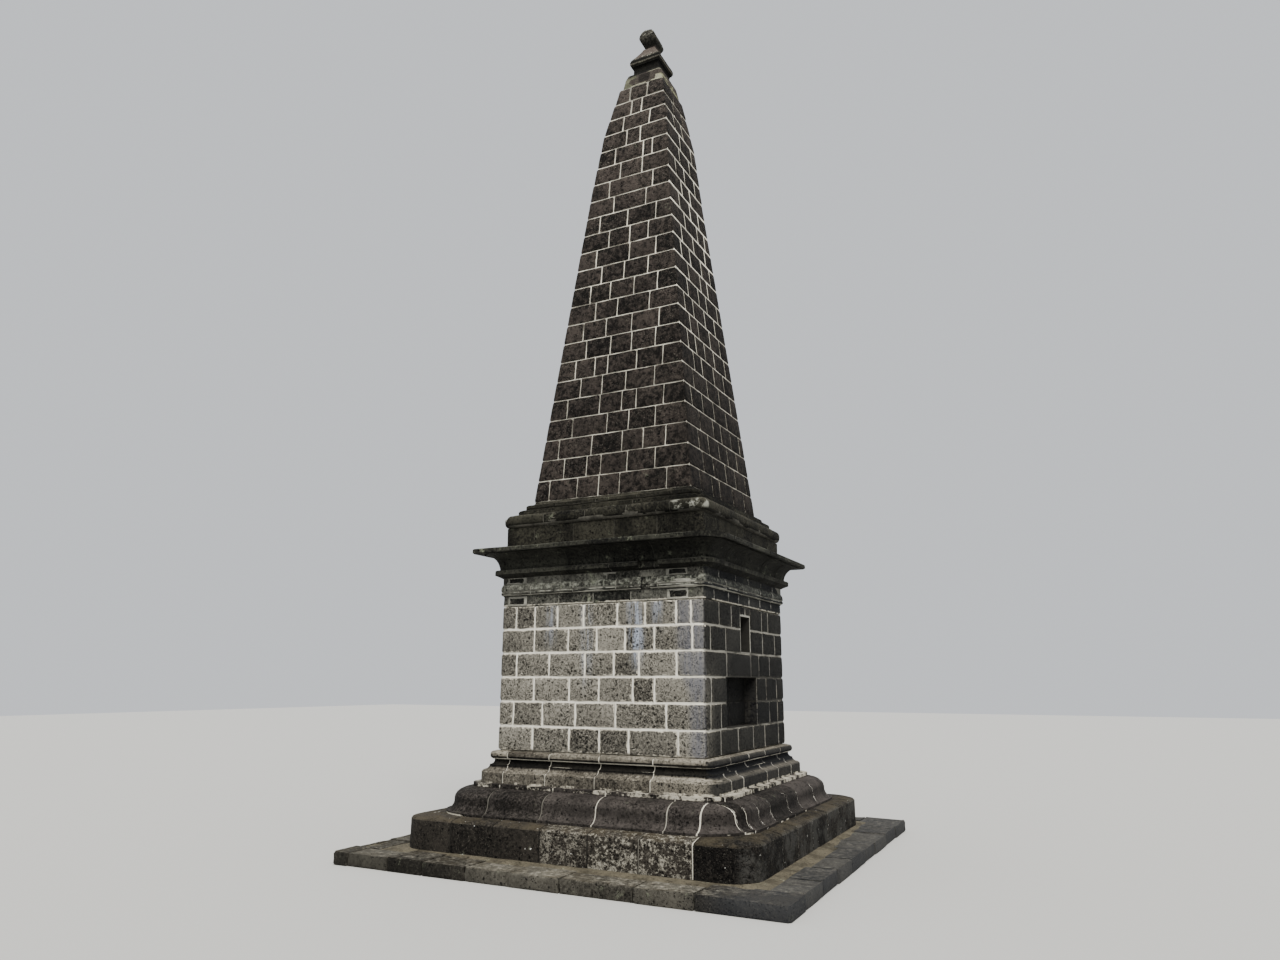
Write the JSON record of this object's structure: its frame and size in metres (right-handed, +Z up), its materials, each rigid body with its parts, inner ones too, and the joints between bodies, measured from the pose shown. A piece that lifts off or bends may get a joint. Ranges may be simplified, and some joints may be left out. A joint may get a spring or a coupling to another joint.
{
  "type": "obelisk",
  "caption": "Tapering stone obelisk of coursed masonry on a stepped, moulded pedestal with a recessed side, a cornice and a small worn finial.",
  "frame": {"origin": "on the ground under the middle of the base", "axes": "+Z up along the obelisk, -Y out of the broad lit face, +X out of the face with the recess and the niche"},
  "size_m": [4.06, 4.06, 9.1509],
  "materials": {
    "ground_stone": "rough, dark, with earth on top",
    "base_stone": "rough dark volcanic stone with grey lichen",
    "die_stone": "rough volcanic stone, full of small pores",
    "cornice_stone": "rough, black with grey-green lichen",
    "shaft_stone": "rough dark brown stone",
    "mortar": "pale lime mortar, matt"
  },
  "bodies": {
    "root": {"ground_course": "ground_stone", "plinth_step": "base_stone", "base_ogee": "base_stone", "base_block": "base_stone", "base_torus": "base_stone", "die_course_1": "die_stone", "die_course_2": "die_stone", "die_course_3": "die_stone", "die_course_4": "die_stone", "die_course_5": "die_stone", "die_course_6": "die_stone", "frieze_lower": "cornice_stone", "architrave": "cornice_stone", "frieze_upper": "cornice_stone", "cornice_bed": "cornice_stone", "corona": "cornice_stone", "shaft_plinth": "shaft_stone", "shaft_torus": "shaft_stone", "shaft_foot": "shaft_stone", "shaft_course_01": "shaft_stone", "shaft_course_02": "shaft_stone", "shaft_course_03": "shaft_stone", "shaft_course_04": "shaft_stone", "shaft_course_05": "shaft_stone", "shaft_course_06": "shaft_stone", "shaft_course_07": "shaft_stone", "shaft_course_08": "shaft_stone", "shaft_course_09": "shaft_stone", "shaft_course_10": "shaft_stone", "shaft_course_11": "shaft_stone", "shaft_course_12": "shaft_stone", "shaft_course_13": "shaft_stone", "shaft_course_14": "shaft_stone", "shaft_course_15": "shaft_stone", "shaft_course_16": "shaft_stone", "shaft_course_17": "shaft_stone", "shaft_course_18": "shaft_stone", "shaft_course_19": "shaft_stone", "shaft_course_20": "shaft_stone", "shaft_course_21": "shaft_stone", "shaft_course_22": "shaft_stone", "shaft_course_23": "shaft_stone", "shaft_top": "shaft_stone", "cap": "shaft_stone", "finial": "shaft_stone"}
  },
  "joints": []
}
